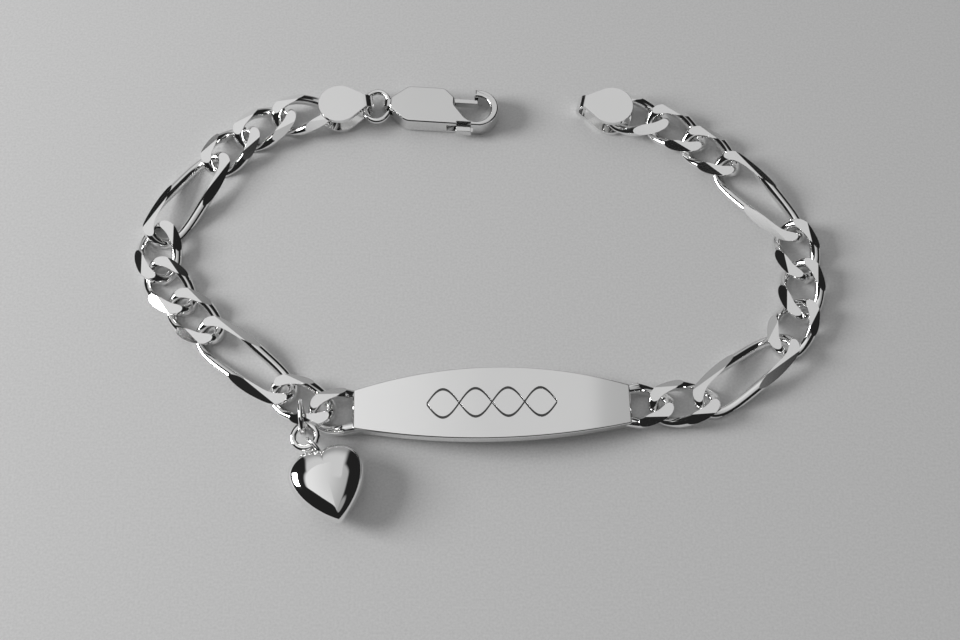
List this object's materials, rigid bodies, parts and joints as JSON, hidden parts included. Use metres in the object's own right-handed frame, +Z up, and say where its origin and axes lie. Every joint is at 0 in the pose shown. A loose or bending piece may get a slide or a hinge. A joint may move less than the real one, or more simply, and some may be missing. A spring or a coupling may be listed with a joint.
{
  "type": "id bracelet",
  "caption": "Open figaro chain bracelet with a bowed name plate, folded end caps, a trigger clasp and a puffed heart charm, lying flat.",
  "frame": {"origin": "on the surface under the middle of the bracelet's outline", "axes": "+X from the clasp's side of the loop to the open end, along the name plate; +Y from the plate to the clasp; +Z up"},
  "size_m": [0.083, 0.058, 0.0046],
  "materials": {
    "chain_silver": "filed and polished silver",
    "plate_silver": "polished silver plate",
    "cap_silver": "polished sheet silver",
    "clasp_silver": "polished cast silver",
    "charm_silver": "bright polished silver"
  },
  "bodies": {
    "bracelet": {"id_plate": "plate_silver", "left_link_1": "chain_silver", "left_link_2": "chain_silver", "left_link_3": "chain_silver", "left_link_4": "chain_silver", "left_link_5": "chain_silver", "left_link_6": "chain_silver", "left_link_7": "chain_silver", "left_link_8": "chain_silver", "left_end_cap": "cap_silver", "right_link_1": "chain_silver", "right_link_2": "chain_silver", "right_link_3": "chain_silver", "right_link_4": "chain_silver", "right_link_5": "chain_silver", "right_link_6": "chain_silver", "right_link_7": "chain_silver", "right_link_8": "chain_silver", "right_end_cap": "cap_silver", "jump_ring": "clasp_silver", "clasp_body": "clasp_silver", "clasp_pin": "clasp_silver", "charm_ring": "charm_silver", "eye_ring": "charm_silver", "heart_charm": "charm_silver"},
    "lever": {"clasp_lever": "clasp_silver"}
  },
  "joints": [
    {"name": "trigger", "type": "hinge", "parent": "bracelet", "child": "lever", "pos_m": [-0.00422, 0.02617, 0.00115], "axis": [0, 0, -1], "range_deg": [0, 20], "stiffness_Nm_per_rad": 0.0002, "springref_deg": -11.46}
  ]
}
